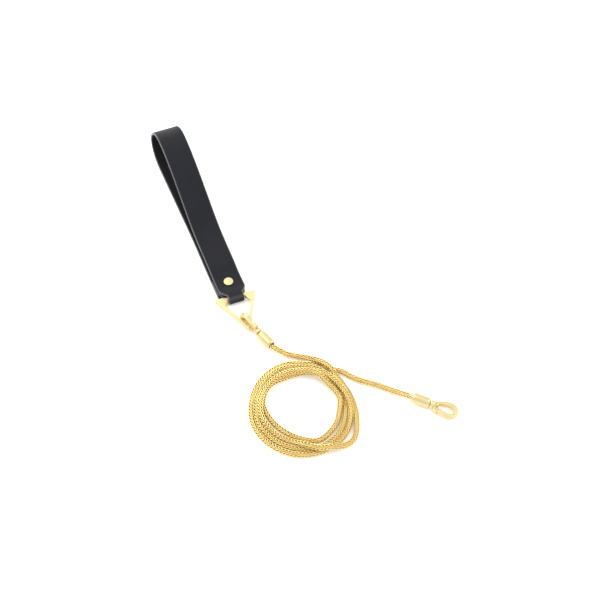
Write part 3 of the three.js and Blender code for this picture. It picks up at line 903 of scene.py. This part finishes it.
def ferrule_profile():
    """Closed outline of the turned barrel: hollow at both ends, its rim rolled where the chain enters."""
    end = -FERRULE_LENGTH
    socket_end = end + SOCKET_DEPTH + 0.3
    bore = SWIVEL_R + CLEAR
    outside = [
        (0, 3.1), (-0.15, 3.45), (-0.6, 3.8), (-1.4, FERRULE_R - 0.3), (-2.3, FERRULE_R - 0.08),
        (-3.4, FERRULE_R), (end + 2.6, FERRULE_R), (end + 1.5, FERRULE_R - 0.08),
        (end + 0.7, FERRULE_R - 0.32),
        (end + 0.2, FERRULE_R - 0.7), (end, FERRULE_R - 1.05), (end + 0.1, CHAIN_R + 0.5),
    ]
    socket = [(end + 0.5, CHAIN_R + 0.35), (socket_end, CHAIN_R + 0.35), (socket_end, 0)]
    hollow = [(-9, 0), (-9, 3.0), (-1.6, 3.0), (-1.6, bore), (-0.1, bore), (0, bore + 0.15)]
    return hollow + outside + socket


def make_end_unit(unit, clip, hook_on, gate_on):
    """A ferrule, and the hook that turns in it with its gate, pins, washer and spring."""
    barrel = turned(f"{clip}_barrel", ferrule_profile(), PALE_GOLD, unit, 72)
    rides(barrel, "chain", "gold", f"{clip}_ferrule")
    hook = finished(hook_body(f"{clip}_body"), unit, PALE_GOLD)
    rides(hook, hook_on, "gold", f"{clip}_hook")
    gate = finished(gate_arm(f"{clip}_lever"), unit, PALE_GOLD)
    rides(gate, gate_on, "gold", f"{clip}_gate")
    headed = [(-3.6, 0), (-3.6, 2.2), (-3.3, 2.6), (-2.5, 2.6), (-2.5, SWIVEL_R), (3.0, SWIVEL_R), (3.0, 0)]
    spindle = turned(f"{clip}_spindle", headed, PALE_GOLD, unit, 40)
    rides(spindle, hook_on, "gold", f"{clip}_swivel_pin")
    across = unit @ Matrix.Translation((*GATE_PIN, 0)) @ Matrix.Rotation(-math.pi / 2, 4, "Y")
    plain = [(-1.75, 0), (-1.75, GATE_PIN_R - 0.1), (-1.6, GATE_PIN_R), (1.6, GATE_PIN_R),
             (1.75, GATE_PIN_R - 0.1), (1.75, 0)]
    gate_pin = turned(f"{clip}_rivet_pin", plain, PALE_GOLD, across, 28)
    rides(gate_pin, hook_on, "gold", f"{clip}_gate_pin")
    for node, material in ((f"{clip}_swivel_washer", PALE_GOLD), (f"{clip}_gate_spring", STEEL)):
        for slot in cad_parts[node].material_slots:
            slot.material = material


make_strap()
make_rivet()
make_ring()
make_end_unit(HANDLE_UNIT, "handle_clip", "handle_hook", "handle_gate")
make_end_unit(FREE_UNIT, "free_clip", "free_hook", "free_gate")

# ---- floor and light --------------------------------------------------------------------------

FLOOR_HALF = 3000
FLOOR_DROP = 0.1                      # the floor lies this far below the part's lowest point


def make_stage():
    n = Nodes("studio_floor")
    n.set(Base_Color=(0.97, 0.97, 0.97, 1), Roughness=0.8, Specular_IOR_Level=0.2,
          Emission_Color=(1, 1, 1, 1), Emission_Strength=0.2)
    corners = [(x * FLOOR_HALF, y * FLOOR_HALF, 0) for x, y in ((-1, -1), (1, -1), (1, 1), (-1, 1))]
    floor = mesh_object("floor", corners, [(0, 1, 2, 3)], [n.material], Matrix.Scale(MM, 4))
    floor.location.z = -FLOOR_DROP * MM


def make_light(name, place, size, power):
    """A soft lamp that faces the part. Place and size are metres, and power is watts."""
    data = bpy.data.lights.new(name, "AREA")
    data.shape = "RECTANGLE"
    data.size, data.size_y = size
    data.energy = power
    lamp = bpy.data.objects.new(name, data)
    lamp.location = place
    lamp.rotation_euler = Vector(place).to_track_quat("Z", "Y").to_euler()
    bpy.context.scene.collection.objects.link(lamp)


def make_world():
    world = bpy.data.worlds.new("studio")
    world.use_nodes = True
    sky = world.node_tree.nodes["Background"].inputs
    sky["Color"].default_value = (1.0, 1.0, 1.0, 1)
    sky["Strength"].default_value = 1.0
    bpy.context.scene.world = world


make_stage()
make_world()
make_light("key", (-0.6, 0.5, 1.3), (0.9, 0.9), 9)
make_light("fill", (0.9, -0.4, 1.0), (0.9, 0.9), 5)
make_light("rim", (0.1, 1.4, 0.7), (1.2, 0.5), 5)
bpy.context.scene.view_settings.view_transform = "Standard"
